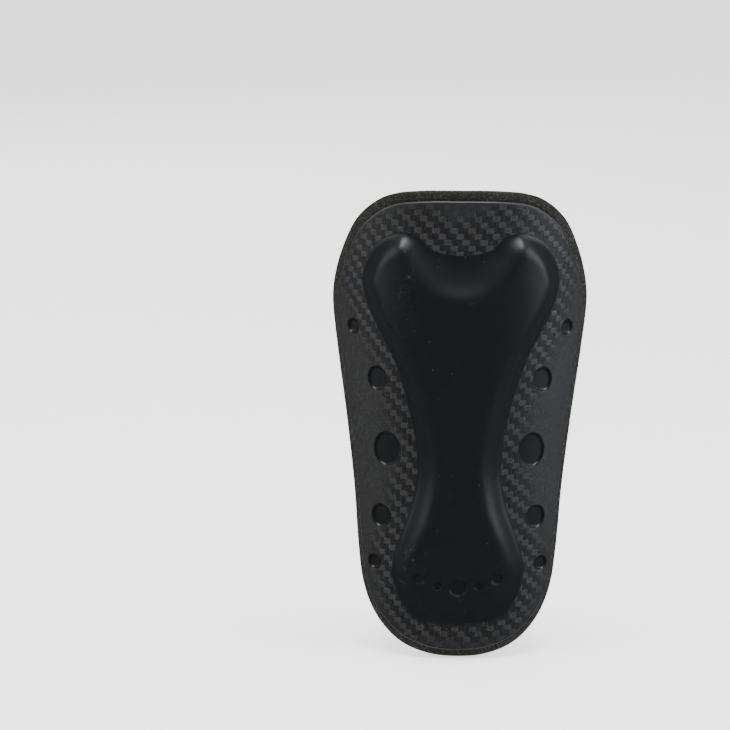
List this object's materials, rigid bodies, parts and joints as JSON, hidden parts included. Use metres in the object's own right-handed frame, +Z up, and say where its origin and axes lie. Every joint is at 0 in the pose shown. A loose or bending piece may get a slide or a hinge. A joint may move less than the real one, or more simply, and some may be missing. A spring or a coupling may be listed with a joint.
{
  "type": "shin guard",
  "caption": "Slip-in shin guard: hard curved shell with a raised bone-shaped ridge and blind dimples, glued to a foam backing that shows as a lip all round.",
  "frame": {"origin": "middle of the face that touches the shin, on its flat land at half height", "axes": "+Z up the shin, +Y into the leg, -Y out of the shin through the shell's front, +X to the right of someone who looks at the front"},
  "size_m": [0.1104, 0.042, 0.2048],
  "materials": {
    "shell": "black polypropylene, glossy on the raised bone, satin twill emboss on the flange",
    "adhesive": "translucent double-sided film",
    "foam": "charcoal EVA foam with a cut, grainy edge",
    "lining": "black knitted polyester"
  },
  "bodies": {
    "root": {"shell": "shell", "adhesive_film": "adhesive", "foam_backing": "foam", "lining": "lining"}
  },
  "joints": []
}
